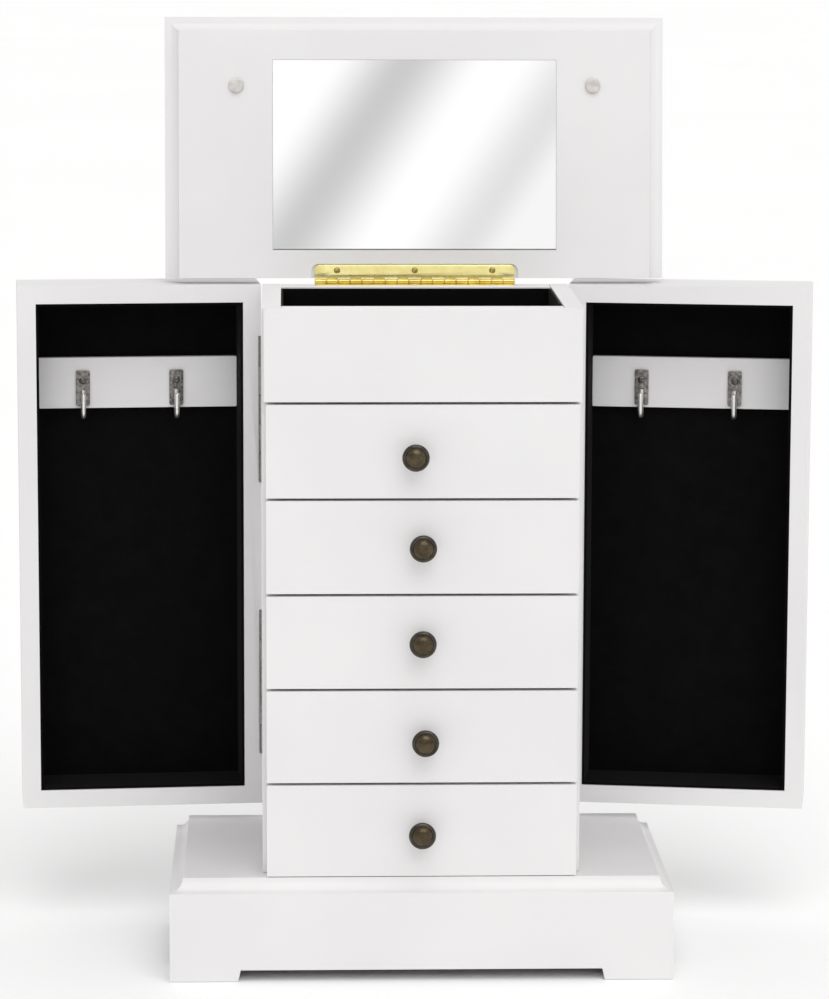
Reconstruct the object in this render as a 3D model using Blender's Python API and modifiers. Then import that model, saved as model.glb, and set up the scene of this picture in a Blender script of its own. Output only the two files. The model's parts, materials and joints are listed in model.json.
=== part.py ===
"""White tabletop jewellery chest: a lid with a mirror, two necklace doors and five drawers.

Sizes are in metres, +Z is up and the drawers face -Y. Every piece is placed as it lies in the
closed chest. The pivots of the lid and the doors then swing their pieces open, which is how the
chest stands. Run it with: blender --background --python part.py
"""
import math

import bmesh
import bpy
from mathutils import Matrix, Vector

# Clearances
GAP = 0.0003
SLIDE_CLEARANCE = 0.001
CUT_MARGIN = 0.005

# How finely the shapes are made
MERGE_DISTANCE = 0.00001
SMOOTH_DEGREES = 40
PIVOT_MARK_SIZE = 0.02

# Base
BASE_SIDE_MARGIN = 0.0107
BASE_REAR_MARGIN = 0.0182
BASE_HEIGHT = 0.066
BASE_COVE = 0.0085
COVE_SEGMENTS = 6
COVE_PROFILE = 0.08
BASE_TOP_THICKNESS = 0.012
BASE_BOARD_THICKNESS = 0.014
FOOT_WIDTH = 0.045
FOOT_HEIGHT = 0.0077

# Carcass
CARCASS_WIDTH = 0.202
SIDE_PANEL_DEPTH = 0.151
SIDE_PANEL_THICKNESS = 0.012
BACK_PANEL_THICKNESS = 0.010
SHELF_THICKNESS = 0.004

# Drawers, counted from the top
DRAWER_COUNT = 5
FRONT_THICKNESS = 0.012
DRAWER_FRONT_REVEAL = 0.0027
DRAWER_FRONT_HEIGHT = 0.0591
FRONT_GAP = 0.0016
SHELF_CLEARANCE = 0.0004
DRAWER_HEADROOM = 0.0063
DRAWER_REAR_CLEARANCE = 0.003
DRAWER_WALL = 0.007
DRAWER_BOTTOM = 0.004

# Compartment at the top, behind a front that does not move
TOP_FRONT_REVEAL = 0.0015
TOP_FRONT_HEIGHT = 0.0581
TRAY_FLOOR_THICKNESS = 0.005
TRAY_FRONT_RAIL_THICKNESS = 0.0094
TRAY_BACK_RAIL_THICKNESS = 0.0105
LINING_THICKNESS = 0.0015
LINING_SETBACK = 0.001

# Doors
DOOR_FRONT_SETBACK = 0.0029
DOOR_GAP = 0.001
DOOR_FLOOR_CLEARANCE = 0.0105
DOOR_TOP_DROP = 0.0005
DOOR_RIM = 0.0118
DOOR_FRAME_DEPTH = 0.041
DOOR_PANEL_THICKNESS = 0.006
DOOR_OPEN_DEGREES = {"left": 85.2, "right": 80.9}

# Hook rails and hooks in the doors
RAIL_DROP = 0.0513
RAIL_HEIGHT = 0.0342
RAIL_THICKNESS = 0.0052
HOOK_SPACING = 0.0625
HOOK_ROW_OFFSET = {"left": 0.0055, "right": -0.0019}
HOOK_PLATE_WIDTH = 0.0093
HOOK_PLATE_HEIGHT = 0.0238
HOOK_PLATE_THICKNESS = 0.0012
HOOK_PLATE_DROP = 0.0087
HOOK_WIRE_RADIUS = 0.0016
HOOK_BEND_RADIUS = 0.0042
HOOK_STEM_OVERLAP = 0.004
HOOK_STEM_REACH = 0.0022
HOOK_TIP_RISE = 0.0116
HOOK_BEND_STEPS = 6
HOOK_WIRE_ROUNDNESS = 2

# Lid
LID_SIDE_OVERHANG = 0.01605
LID_FRONT_OVERHANG = 0.0094
LID_THICKNESS = 0.016
LID_COVE = 0.0095
LID_GAP = 0.0023
LID_OPEN_DEGREES = 95.9
MIRROR_SIDE_MARGIN = 0.07135
MIRROR_END_MARGIN = 0.0191
MIRROR_THICKNESS = 0.0025
MIRROR_SETBACK = 0.0001
BUMPER_RADIUS = 0.005
BUMPER_THICKNESS = 0.0021
BUMPER_FROM_MIRROR = 0.024
BUMPER_FROM_FRONT = 0.0457
BUMPER_SEGMENTS = 24

# Lid hinge
LID_HINGE_LENGTH = 0.1328
LID_LEAF_WIDTH = 0.0087
LID_BARREL_RADIUS = 0.0022
LID_KNUCKLES = 17

# Door hinges
DOOR_HINGE_LENGTH = 0.0974
DOOR_HINGE_INSET = 0.0345
DOOR_LEAF_WIDTH = 0.0085
DOOR_BARREL_RADIUS = 0.002
DOOR_PIN_SETBACK = 0.0004
DOOR_KNUCKLES = 5

# Both hinges
LEAF_THICKNESS = 0.001
PIN_RADIUS = 0.0008
PIN_CLEARANCE = 0.00035
KNUCKLE_GAP = 0.0003
BARREL_SEGMENTS = 12

# Knob, turned: radius and height above the drawer's front, from the crown to the foot
KNOB_PROFILE = [
    (0.0, 0.0170), (0.0035, 0.0166), (0.0062, 0.0150), (0.0070, 0.0132), (0.0080, 0.0130),
    (0.0086, 0.0116), (0.0080, 0.0100), (0.0045, 0.0080), (0.0034, 0.0055), (0.0040, 0.0025),
    (0.0058, 0.0012), (0.0058, 0.0), (0.0, 0.0),
]
KNOB_STEPS = 20

# Drawer number, counted from the top, to how far its knob is to the right of and above the middle
# of the front: the holes are drilled by eye
KNOB_OFFSETS = {
    1: (-0.0048, -0.0023),
    2: (0.0, 0.0011),
    3: (0.0, 0.0010),
    4: (0.0018, -0.0017),
    5: (0.0, -0.0005),
}

# Sizes that follow from others
CARCASS_DEPTH = FRONT_THICKNESS + GAP + SIDE_PANEL_DEPTH
DRAWER_FRONT_WIDTH = CARCASS_WIDTH - 2 * DRAWER_FRONT_REVEAL
TOP_FRONT_WIDTH = CARCASS_WIDTH - 2 * TOP_FRONT_REVEAL
DRAWER_PITCH = DRAWER_FRONT_HEIGHT + FRONT_GAP
DRAWER_BOX_HEIGHT = DRAWER_PITCH - SHELF_THICKNESS - SHELF_CLEARANCE - DRAWER_HEADROOM
DRAWER_BOX_DEPTH = SIDE_PANEL_DEPTH - BACK_PANEL_THICKNESS - DRAWER_REAR_CLEARANCE
DOOR_WIDTH = CARCASS_DEPTH - DOOR_FRONT_SETBACK
DOOR_THICKNESS = DOOR_FRAME_DEPTH + GAP + DOOR_PANEL_THICKNESS
CLOSED_WIDTH = CARCASS_WIDTH + 2 * (DOOR_GAP + DOOR_THICKNESS)
BASE_WIDTH = CLOSED_WIDTH + 2 * BASE_SIDE_MARGIN
BASE_DEPTH = BASE_COVE + CARCASS_DEPTH + BASE_REAR_MARGIN
LID_WIDTH = CLOSED_WIDTH + 2 * LID_SIDE_OVERHANG
LID_DEPTH = CARCASS_DEPTH + LID_FRONT_OVERHANG
MIRROR_WIDTH = LID_WIDTH - 2 * MIRROR_SIDE_MARGIN
MIRROR_HEIGHT = LID_DEPTH - LID_COVE - 2 * MIRROR_END_MARGIN

# Places that follow from the sizes, in the closed chest
FRONT_Y = -BASE_DEPTH / 2 + BASE_COVE
CARCASS_FRONT_Y = FRONT_Y + FRONT_THICKNESS + GAP
REAR_Y = CARCASS_FRONT_Y + SIDE_PANEL_DEPTH
BACK_PANEL_Y = REAR_Y - BACK_PANEL_THICKNESS
INNER_X = CARCASS_WIDTH / 2 - SIDE_PANEL_THICKNESS
CARCASS_Z = BASE_HEIGHT + GAP
LOWEST_FRONT_Z = BASE_HEIGHT + SHELF_CLEARANCE
TOP_FRONT_Z = LOWEST_FRONT_Z + DRAWER_COUNT * DRAWER_PITCH
CARCASS_TOP_Z = TOP_FRONT_Z + TOP_FRONT_HEIGHT
TRAY_FLOOR_Z = TOP_FRONT_Z - SHELF_CLEARANCE
DOOR_BOTTOM_Z = BASE_HEIGHT + DOOR_FLOOR_CLEARANCE
DOOR_TOP_Z = CARCASS_TOP_Z - DOOR_TOP_DROP
DOOR_RIM_X = CARCASS_WIDTH / 2 + DOOR_GAP
LID_UNDERSIDE_Z = CARCASS_TOP_Z + LID_GAP
LID_AXIS_Y = REAR_Y + LID_BARREL_RADIUS + GAP
LID_AXIS_Z = CARCASS_TOP_Z + LID_GAP / 2
DOOR_AXIS_X = CARCASS_WIDTH / 2 + DOOR_GAP / 2
DOOR_AXIS_Y = REAR_Y + DOOR_PIN_SETBACK
SIDES = {"left": -1, "right": 1}


def clear_scene():
    for obj in list(bpy.data.objects):
        bpy.data.objects.remove(obj, do_unlink=True)


def make_collection(name):
    group = bpy.data.collections.new(name)
    bpy.context.scene.collection.children.link(group)
    return group


def make_material(name, colour, roughness, metallic=0.0):
    mat = bpy.data.materials.new(name)
    mat.use_nodes = True
    shader = mat.node_tree.nodes["Principled BSDF"]
    shader.inputs["Base Color"].default_value = (*colour, 1.0)
    shader.inputs["Roughness"].default_value = roughness
    shader.inputs["Metallic"].default_value = metallic
    return mat


def make_materials():
    return {
        "paint": make_material("white_paint", (0.80, 0.80, 0.78), 0.45),
        "velvet": make_material("black_velvet", (0.008, 0.008, 0.009), 0.95),
        "brass": make_material("polished_brass", (0.80, 0.56, 0.16), 0.22, 1.0),
        "bronze": make_material("antique_bronze", (0.10, 0.075, 0.045), 0.38, 0.9),
        "nickel": make_material("nickel", (0.62, 0.60, 0.57), 0.25, 1.0),
        "mirror": make_material("mirror", (0.90, 0.91, 0.91), 0.02, 1.0),
        "clear": make_material("clear_rubber", (0.62, 0.62, 0.60), 0.3),
    }


def make_pivot(name, point, parent, turn=(0.0, 0.0, 0.0)):
    """An empty on a joint's axis; its pieces are placed in the closed chest and turn with it."""
    pivot = bpy.data.objects.new(name, None)
    pivot.empty_display_size = PIVOT_MARK_SIZE
    pivot.location = point
    pivot.rotation_euler = turn
    pivot.parent = parent
    PARTS.objects.link(pivot)
    return pivot


def add_object(name, bm, pivot, mat=None):
    """A mesh object under its pivot; without a material it is a cutter."""
    mesh = bpy.data.meshes.new(name)
    bm.to_mesh(mesh)
    bm.free()
    obj = bpy.data.objects.new(name, mesh)
    obj.parent = pivot
    if mat is None:
        CUTTERS.objects.link(obj)
        obj.hide_render = True
        obj.display_type = "WIRE"
    else:
        PARTS.objects.link(obj)
        mesh.materials.append(mat)
    return obj


def home(pivot):
    """Where a pivot stands in the closed chest; every pivot hangs straight under the root."""
    return Vector(pivot.location) if pivot.parent else Vector()


def add_box(bm, corner, opposite, pivot):
    low = Vector(min(pair) for pair in zip(corner, opposite))
    high = Vector(max(pair) for pair in zip(corner, opposite))
    place = Matrix.LocRotScale((low + high) / 2 - home(pivot), None, high - low)
    bmesh.ops.create_cube(bm, size=1.0, matrix=place)


def box(name, corner, opposite, pivot, mat=None):
    bm = bmesh.new()
    add_box(bm, corner, opposite, pivot)
    return add_object(name, bm, pivot, mat)


def cylinder(name, centre, axis, radius, length, segments, pivot, mat=None):
    turns = {"X": Matrix.Rotation(math.pi / 2, 4, "Y"), "Z": Matrix.Identity(4)}
    place = Matrix.Translation(Vector(centre) - home(pivot)) @ turns[axis]
    bm = bmesh.new()
    bmesh.ops.create_cone(
        bm,
        cap_ends=True,
        segments=segments,
        radius1=radius,
        radius2=radius,
        depth=length,
        matrix=place,
    )
    return add_object(name, bm, pivot, mat)


def combine(target, tool, operation):
    step = target.modifiers.new(tool.name, "BOOLEAN")
    step.operation = operation
    step.solver = "EXACT"
    step.object = tool


def cut(target, tool):
    combine(target, tool, "DIFFERENCE")


def join(target, tool):
    combine(target, tool, "UNION")


def shade_round(obj):
    obj.data.shade_smooth()
    obj.data.set_sharp_from_angle(angle=math.radians(SMOOTH_DEGREES))


def carve_cove(board, size, chosen):
    """A concave quarter round along the edges that `chosen` picks by their two end points."""
    weights = board.data.attributes.new("bevel_weight_edge", "FLOAT", "EDGE")
    points = [vertex.co for vertex in board.data.vertices]
    for edge in board.data.edges:
        first, second = (points[index] for index in edge.vertices)
        weights.data[edge.index].value = 1.0 if chosen(first, second) else 0.0
    bevel = board.modifiers.new("cove", "BEVEL")
    bevel.limit_method = "WEIGHT"
    bevel.width = size
    bevel.segments = COVE_SEGMENTS
    bevel.profile = COVE_PROFILE
    bevel.use_clamp_overlap = False


def build_base(root, mats):
    half_x = BASE_WIDTH / 2
    half_y = BASE_DEPTH / 2
    paint = mats["paint"]
    under_top = BASE_HEIGHT - BASE_TOP_THICKNESS
    corner = (-half_x, -half_y, under_top)
    top = box("base_top_board", corner, (half_x, half_y, BASE_HEIGHT), root, paint)
    middle = BASE_HEIGHT - BASE_TOP_THICKNESS / 2
    carve_cove(top, BASE_COVE, lambda first, second: min(first.z, second.z) > middle)

    board_top = under_top - GAP
    notch_x = half_x - FOOT_WIDTH
    for name, way in (("front", -1), ("back", 1)):
        outer = way * half_y
        inner = way * (half_y - BASE_BOARD_THICKNESS)
        board = box(f"base_{name}_board", (-half_x, outer, 0), (half_x, inner, board_top), root, paint)
        notch = box(
            f"base_{name}_notch",
            (-notch_x, outer + way * CUT_MARGIN, -CUT_MARGIN),
            (notch_x, inner - way * CUT_MARGIN, FOOT_HEIGHT),
            root,
        )
        cut(board, notch)

    end_y = half_y - BASE_BOARD_THICKNESS - GAP
    notch_y = half_y - FOOT_WIDTH
    for name, way in SIDES.items():
        outer = way * half_x
        inner = way * (half_x - BASE_BOARD_THICKNESS)
        board = box(f"base_{name}_board", (outer, -end_y, 0), (inner, end_y, board_top), root, paint)
        notch = box(
            f"base_{name}_notch",
            (outer + way * CUT_MARGIN, -notch_y, -CUT_MARGIN),
            (inner - way * CUT_MARGIN, notch_y, FOOT_HEIGHT),
            root,
        )
        cut(board, notch)


def build_carcass(root, mats):
    """Side panels, back panel, shelves and the fixed front above the drawers."""
    panels = {}
    for name, way in SIDES.items():
        panels[name] = box(
            f"{name}_side_panel",
            (way * CARCASS_WIDTH / 2, CARCASS_FRONT_Y, CARCASS_Z),
            (way * INNER_X, REAR_Y, CARCASS_TOP_Z),
            root,
            mats["paint"],
        )
    inside = INNER_X - GAP
    panels["back"] = box(
        "back_panel",
        (-inside, BACK_PANEL_Y, CARCASS_Z),
        (inside, REAR_Y, CARCASS_TOP_Z),
        root,
        mats["paint"],
    )
    behind = BACK_PANEL_Y - GAP
    for number in range(1, DRAWER_COUNT):
        top = LOWEST_FRONT_Z + (DRAWER_COUNT - number) * DRAWER_PITCH - SHELF_CLEARANCE
        box(
            f"drawer_shelf_{number}",
            (-inside, CARCASS_FRONT_Y, top - SHELF_THICKNESS),
            (inside, behind, top),
            root,
            mats["paint"],
        )
    box(
        "top_front_panel",
        (-TOP_FRONT_WIDTH / 2, FRONT_Y, TOP_FRONT_Z),
        (TOP_FRONT_WIDTH / 2, FRONT_Y + FRONT_THICKNESS, CARCASS_TOP_Z),
        root,
        mats["paint"],
    )
    return panels


def build_tray(root, mats):
    """The compartment under the lid: floor, front and back rails and the velvet lining."""
    paint = mats["paint"]
    inside = INNER_X - GAP
    behind = BACK_PANEL_Y - GAP
    floor_z = TRAY_FLOOR_Z - TRAY_FLOOR_THICKNESS
    box("tray_floor", (-inside, CARCASS_FRONT_Y, floor_z), (inside, behind, TRAY_FLOOR_Z), root, paint)
    rail_z = TRAY_FLOOR_Z + GAP
    front_y = CARCASS_FRONT_Y + TRAY_FRONT_RAIL_THICKNESS
    back_y = behind - TRAY_BACK_RAIL_THICKNESS
    box("tray_front_rail", (-inside, CARCASS_FRONT_Y, rail_z), (inside, front_y, CARCASS_TOP_Z), root, paint)
    box("tray_back_rail", (-inside, back_y, rail_z), (inside, behind, CARCASS_TOP_Z), root, paint)

    low = Vector((-inside, front_y + GAP, rail_z))
    high = Vector((inside, back_y - GAP, CARCASS_TOP_Z - LINING_SETBACK))
    wall = Vector((LINING_THICKNESS, LINING_THICKNESS, 0))
    lining = box("tray_lining", low, high, root, mats["velvet"])
    hollow = box(
        "tray_lining_hollow",
        low + wall + Vector((0, 0, LINING_THICKNESS)),
        high - wall + Vector((0, 0, CUT_MARGIN)),
        root,
    )
    cut(lining, hollow)


def knob_mesh(mat):
    """The knob's turned profile; a screw modifier on each knob spins it about its own Z."""
    mesh = bpy.data.meshes.new("knob_profile")
    points = [(radius, 0.0, height) for radius, height in KNOB_PROFILE]
    edges = [(index, index + 1) for index in range(len(points) - 1)]
    mesh.from_pydata(points, edges, [])
    mesh.materials.append(mat)
    return mesh


def build_knob(name, mesh, right, height, pivot):
    knob = bpy.data.objects.new(name, mesh)
    PARTS.objects.link(knob)
    knob.parent = pivot
    knob.location = Vector((right, FRONT_Y - GAP, height)) - home(pivot)
    knob.rotation_euler = (math.pi / 2, 0, 0)
    turn = knob.modifiers.new("turned", "SCREW")
    turn.steps = KNOB_STEPS
    turn.render_steps = KNOB_STEPS
    turn.use_merge_vertices = True
    turn.merge_threshold = MERGE_DISTANCE
    turn.use_smooth_shade = True


def build_drawers(root, mats):
    knob = knob_mesh(mats["bronze"])
    half_box = INNER_X - SLIDE_CLEARANCE
    for number in range(1, DRAWER_COUNT + 1):
        name = f"drawer_{number}"
        bottom = LOWEST_FRONT_Z + (DRAWER_COUNT - number) * DRAWER_PITCH
        middle = bottom + DRAWER_FRONT_HEIGHT / 2
        pivot = make_pivot(f"{name}_slide", (0, FRONT_Y, middle), root)
        box(
            f"{name}_front",
            (-DRAWER_FRONT_WIDTH / 2, FRONT_Y, bottom),
            (DRAWER_FRONT_WIDTH / 2, FRONT_Y + FRONT_THICKNESS, bottom + DRAWER_FRONT_HEIGHT),
            pivot,
            mats["paint"],
        )
        low = Vector((-half_box, CARCASS_FRONT_Y, bottom))
        high = Vector((half_box, CARCASS_FRONT_Y + DRAWER_BOX_DEPTH, bottom + DRAWER_BOX_HEIGHT))
        wall = Vector((DRAWER_WALL, DRAWER_WALL, 0))
        body = box(f"{name}_box", low, high, pivot, mats["paint"])
        hollow = box(
            f"{name}_hollow",
            low + wall + Vector((0, 0, DRAWER_BOTTOM)),
            high - wall + Vector((0, 0, CUT_MARGIN)),
            pivot,
        )
        cut(body, hollow)
        right, above = KNOB_OFFSETS.get(number, (0.0, 0.0))
        build_knob(f"{name}_knob", knob, right, middle + above, pivot)


def knuckle_span(start, length, count, index):
    """Ends of one knuckle's stretch of the barrel, before the gap is taken off."""
    pitch = length / count
    return start + index * pitch, start + (index + 1) * pitch


def build_leaf(name, plate, axis, start, length, radius, count, first, solid, pivot, mat):
    """One half of a hinge: its plate, its knuckles and, on the half that holds it, the pin.

    `plate` is the plate's box, from the axis to its far edge. `axis` is the letter of the pin's
    direction and a point on it. Knuckles number `first`, `first` + 2 and so on belong to this half.
    """
    letter, point = axis
    along = Vector((1, 0, 0)) if letter == "X" else Vector((0, 0, 1))
    across = Vector((1, 1, 1)) - along
    middle = point + along * (start + length / 2 - point.dot(along))

    leaf = box(name, *plate, pivot, mat)
    join(leaf, cylinder(f"{name}_barrel", middle, letter, radius, length, BARREL_SEGMENTS, pivot))

    slots = bmesh.new()
    reach = across * (radius + GAP)
    for index in range(1 - first, count, 2):
        low, high = knuckle_span(start, length, count, index)
        low -= CUT_MARGIN if index == 0 else KNUCKLE_GAP / 2
        high += CUT_MARGIN if index == count - 1 else KNUCKLE_GAP / 2
        centre = middle - along * middle.dot(along)
        add_box(slots, centre + along * low - reach, centre + along * high + reach, pivot)
    cut(leaf, add_object(f"{name}_slots", slots, pivot))

    if solid:
        pin_length = length - length / count
        pin = cylinder(f"{name}_pin", middle, letter, PIN_RADIUS, pin_length, BARREL_SEGMENTS, pivot)
        join(leaf, pin)
    else:
        bore = cylinder(
            f"{name}_bore",
            middle,
            letter,
            PIN_RADIUS + PIN_CLEARANCE,
            length + CUT_MARGIN,
            BARREL_SEGMENTS,
            pivot,
        )
        cut(leaf, bore)
    return leaf


def build_lid_hinge(root, lid, panels, board, mats):
    """Leaves let into the back panel's top edge and the lid's underside; the pin is behind both."""
    half = LID_HINGE_LENGTH / 2
    axis = ("X", Vector((0, LID_AXIS_Y, LID_AXIS_Z)))
    far_y = REAR_Y - LID_LEAF_WIDTH
    barrel = (-half, LID_HINGE_LENGTH, LID_BARREL_RADIUS, LID_KNUCKLES)
    lower = ((-half, far_y, CARCASS_TOP_Z - LEAF_THICKNESS), (half, LID_AXIS_Y, CARCASS_TOP_Z))
    upper = ((-half, far_y, LID_UNDERSIDE_Z), (half, LID_AXIS_Y, LID_UNDERSIDE_Z + LEAF_THICKNESS))
    build_leaf("lid_hinge_body_leaf", lower, axis, *barrel, 0, True, root, mats["brass"])
    build_leaf("lid_hinge_lid_leaf", upper, axis, *barrel, 1, False, lid, mats["brass"])

    depth = LEAF_THICKNESS + GAP
    end = half + GAP
    cut(
        panels["back"],
        box(
            "back_panel_mortise",
            (-end, far_y - GAP, CARCASS_TOP_Z - depth),
            (end, REAR_Y + CUT_MARGIN, CARCASS_TOP_Z + CUT_MARGIN),
            root,
        ),
    )
    cut(
        board,
        box(
            "lid_mortise",
            (-end, far_y - GAP, LID_UNDERSIDE_Z - CUT_MARGIN),
            (end, REAR_Y + CUT_MARGIN, LID_UNDERSIDE_Z + depth),
            lid,
        ),
    )


def build_lid(root, mats):
    lid = make_pivot(
        "lid_pivot", (0, LID_AXIS_Y, LID_AXIS_Z), root, (-math.radians(LID_OPEN_DEGREES), 0, 0)
    )
    front_y = REAR_Y - LID_DEPTH
    board = box(
        "lid_board",
        (-LID_WIDTH / 2, front_y, LID_UNDERSIDE_Z),
        (LID_WIDTH / 2, REAR_Y, LID_UNDERSIDE_Z + LID_THICKNESS),
        lid,
        mats["paint"],
    )
    mid_z = LID_UNDERSIDE_Z + LID_THICKNESS / 2 - LID_AXIS_Z
    mid_y = REAR_Y - LID_DEPTH / 2 - LID_AXIS_Y
    carve_cove(
        board,
        LID_COVE,
        lambda first, second: max(first.z, second.z) < mid_z and min(first.y, second.y) < mid_y,
    )

    flat_centre_y = REAR_Y - (LID_DEPTH - LID_COVE) / 2
    half_x = MIRROR_WIDTH / 2
    half_y = MIRROR_HEIGHT / 2
    glass_z = LID_UNDERSIDE_Z + MIRROR_SETBACK
    box(
        "lid_mirror",
        (-half_x, flat_centre_y - half_y, glass_z),
        (half_x, flat_centre_y + half_y, glass_z + MIRROR_THICKNESS),
        lid,
        mats["mirror"],
    )
    recess = box(
        "mirror_recess",
        (-half_x - GAP, flat_centre_y - half_y - GAP, LID_UNDERSIDE_Z - CUT_MARGIN),
        (half_x + GAP, flat_centre_y + half_y + GAP, glass_z + MIRROR_THICKNESS + GAP),
        lid,
    )
    cut(board, recess)
    for name, way in SIDES.items():
        level = LID_UNDERSIDE_Z - GAP - BUMPER_THICKNESS / 2
        bumper = cylinder(
            f"lid_bumper_{name}",
            (way * (half_x + BUMPER_FROM_MIRROR), front_y + BUMPER_FROM_FRONT, level),
            "Z",
            BUMPER_RADIUS,
            BUMPER_THICKNESS,
            BUMPER_SEGMENTS,
            lid,
            mats["clear"],
        )
        shade_round(bumper)
    return lid, board


def bent_wire(name, points, radius, pivot):
    """A round wire along the points, as a closed mesh that a boolean can use."""
    curve = bpy.data.curves.new(name, "CURVE")
    curve.dimensions = "3D"
    curve.bevel_depth = radius
    curve.bevel_resolution = HOOK_WIRE_ROUNDNESS
    curve.use_fill_caps = True
    line = curve.splines.new("POLY")
    line.points.add(len(points) - 1)
    for knot, point in zip(line.points, points):
        knot.co = (*(point - home(pivot)), 1.0)
    guide = bpy.data.objects.new(f"{name}_guide", curve)
    CUTTERS.objects.link(guide)
    bpy.context.view_layer.update()
    graph = bpy.context.evaluated_depsgraph_get()
    mesh = bpy.data.meshes.new_from_object(guide.evaluated_get(graph))
    bpy.data.objects.remove(guide)
    bm = bmesh.new()
    bm.from_mesh(mesh)
    bmesh.ops.remove_doubles(bm, verts=bm.verts, dist=MERGE_DISTANCE)
    return add_object(name, bm, pivot)


def build_hook(name, way, rail_front, y, top, pivot, mats):
    """A flat plate with a J of round wire that rises in front of it."""
    back = rail_front - way * GAP
    bottom = top - HOOK_PLATE_HEIGHT
    front = back - way * HOOK_PLATE_THICKNESS
    half = HOOK_PLATE_WIDTH / 2
    plate = box(name, (back, y - half, bottom), (front, y + half, top), pivot, mats["nickel"])
    stem_x = back - way * HOOK_WIRE_RADIUS
    bend_z = bottom - HOOK_STEM_REACH
    points = [Vector((stem_x, y, bottom + HOOK_STEM_OVERLAP))]
    for step in range(HOOK_BEND_STEPS + 1):
        angle = math.pi * step / HOOK_BEND_STEPS
        forward = HOOK_BEND_RADIUS * (1 - math.cos(angle))
        drop = HOOK_BEND_RADIUS * math.sin(angle)
        points.append(Vector((stem_x - way * forward, y, bend_z - drop)))
    points.append(Vector((stem_x - way * 2 * HOOK_BEND_RADIUS, y, bend_z + HOOK_TIP_RISE)))
    join(plate, bent_wire(f"{name}_wire", points, HOOK_WIRE_RADIUS, pivot))


def build_door_hinges(name, way, root, door, side_panel, frame, mats):
    """Two hinges in the plane of the chest's back, with notches for their leaves and barrels."""
    depth = LEAF_THICKNESS + GAP
    starts = {
        "lower": DOOR_BOTTOM_Z + DOOR_HINGE_INSET,
        "upper": DOOR_TOP_Z - DOOR_HINGE_INSET - DOOR_HINGE_LENGTH,
    }
    axis_x = way * DOOR_AXIS_X
    body_x = way * (CARCASS_WIDTH / 2 - DOOR_LEAF_WIDTH)
    door_x = way * (DOOR_RIM_X + DOOR_LEAF_WIDTH)
    for level, start in starts.items():
        end = start + DOOR_HINGE_LENGTH
        axis = ("Z", Vector((axis_x, DOOR_AXIS_Y, 0)))
        barrel = (start, DOOR_HINGE_LENGTH, DOOR_BARREL_RADIUS, DOOR_KNUCKLES)
        for half, far_x, first, pivot, wood in (
            ("body", body_x, 0, root, side_panel),
            ("door", door_x, 1, door, frame),
        ):
            plate = ((far_x, REAR_Y - LEAF_THICKNESS, start), (axis_x, REAR_Y, end))
            label = f"{name}_{level}_hinge_{half}_leaf"
            build_leaf(label, plate, axis, *barrel, first, first == 0, pivot, mats["nickel"])
            away = GAP if far_x > axis_x else -GAP
            bed = box(
                f"{label}_bed",
                (far_x + away, REAR_Y - depth, start - GAP),
                (axis_x, REAR_Y + CUT_MARGIN, end + GAP),
                pivot,
            )
            relief = cylinder(
                f"{label}_relief",
                (axis_x, DOOR_AXIS_Y, (start + end) / 2),
                "Z",
                DOOR_BARREL_RADIUS + GAP,
                DOOR_HINGE_LENGTH + 2 * GAP,
                BARREL_SEGMENTS,
                pivot,
            )
            join(bed, relief)
            cut(wood, bed)


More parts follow.
